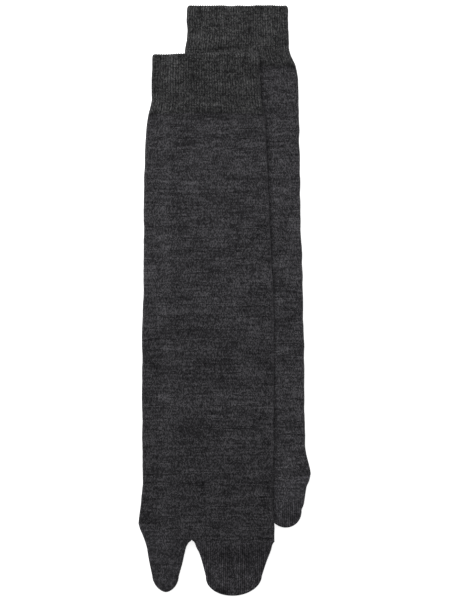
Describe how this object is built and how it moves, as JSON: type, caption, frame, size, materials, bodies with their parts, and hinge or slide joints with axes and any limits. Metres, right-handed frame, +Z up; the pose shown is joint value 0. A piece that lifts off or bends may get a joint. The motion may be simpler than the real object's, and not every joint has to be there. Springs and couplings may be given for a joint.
{
  "type": "pair of knit socks",
  "caption": "Pair of long split-toe knit socks laid flat, one partly over the other, each with a ribbed cuff, a plain tube for the leg and foot, and two toe pockets.",
  "frame": {"origin": "middle of the pair's box, on the surface that it lies on", "axes": "+Y from the toes to the cuffs, +X towards the under sock's side, +Z up from the surface"},
  "size_m": [0.141, 0.4842, 0.0067],
  "materials": {
    "cuff_rib": "matt charcoal melange yarn, one-by-one rib, courses and wales both showing",
    "plain_knit": "matt charcoal melange yarn, fine plain knit with short light and dark streaks along the courses",
    "big_toe_knit": "matt charcoal melange yarn, fine plain knit",
    "four_toes_knit": "matt charcoal melange yarn, fine plain knit with its wales showing"
  },
  "bodies": {
    "root": {"over_sock_cuff": "cuff_rib", "over_sock_leg": "plain_knit", "over_sock_foot": "plain_knit", "over_sock_big_toe": "big_toe_knit", "over_sock_four_toes": "four_toes_knit", "under_sock_cuff": "cuff_rib", "under_sock_leg": "plain_knit", "under_sock_foot": "plain_knit", "under_sock_big_toe": "big_toe_knit", "under_sock_four_toes": "four_toes_knit"}
  },
  "joints": []
}
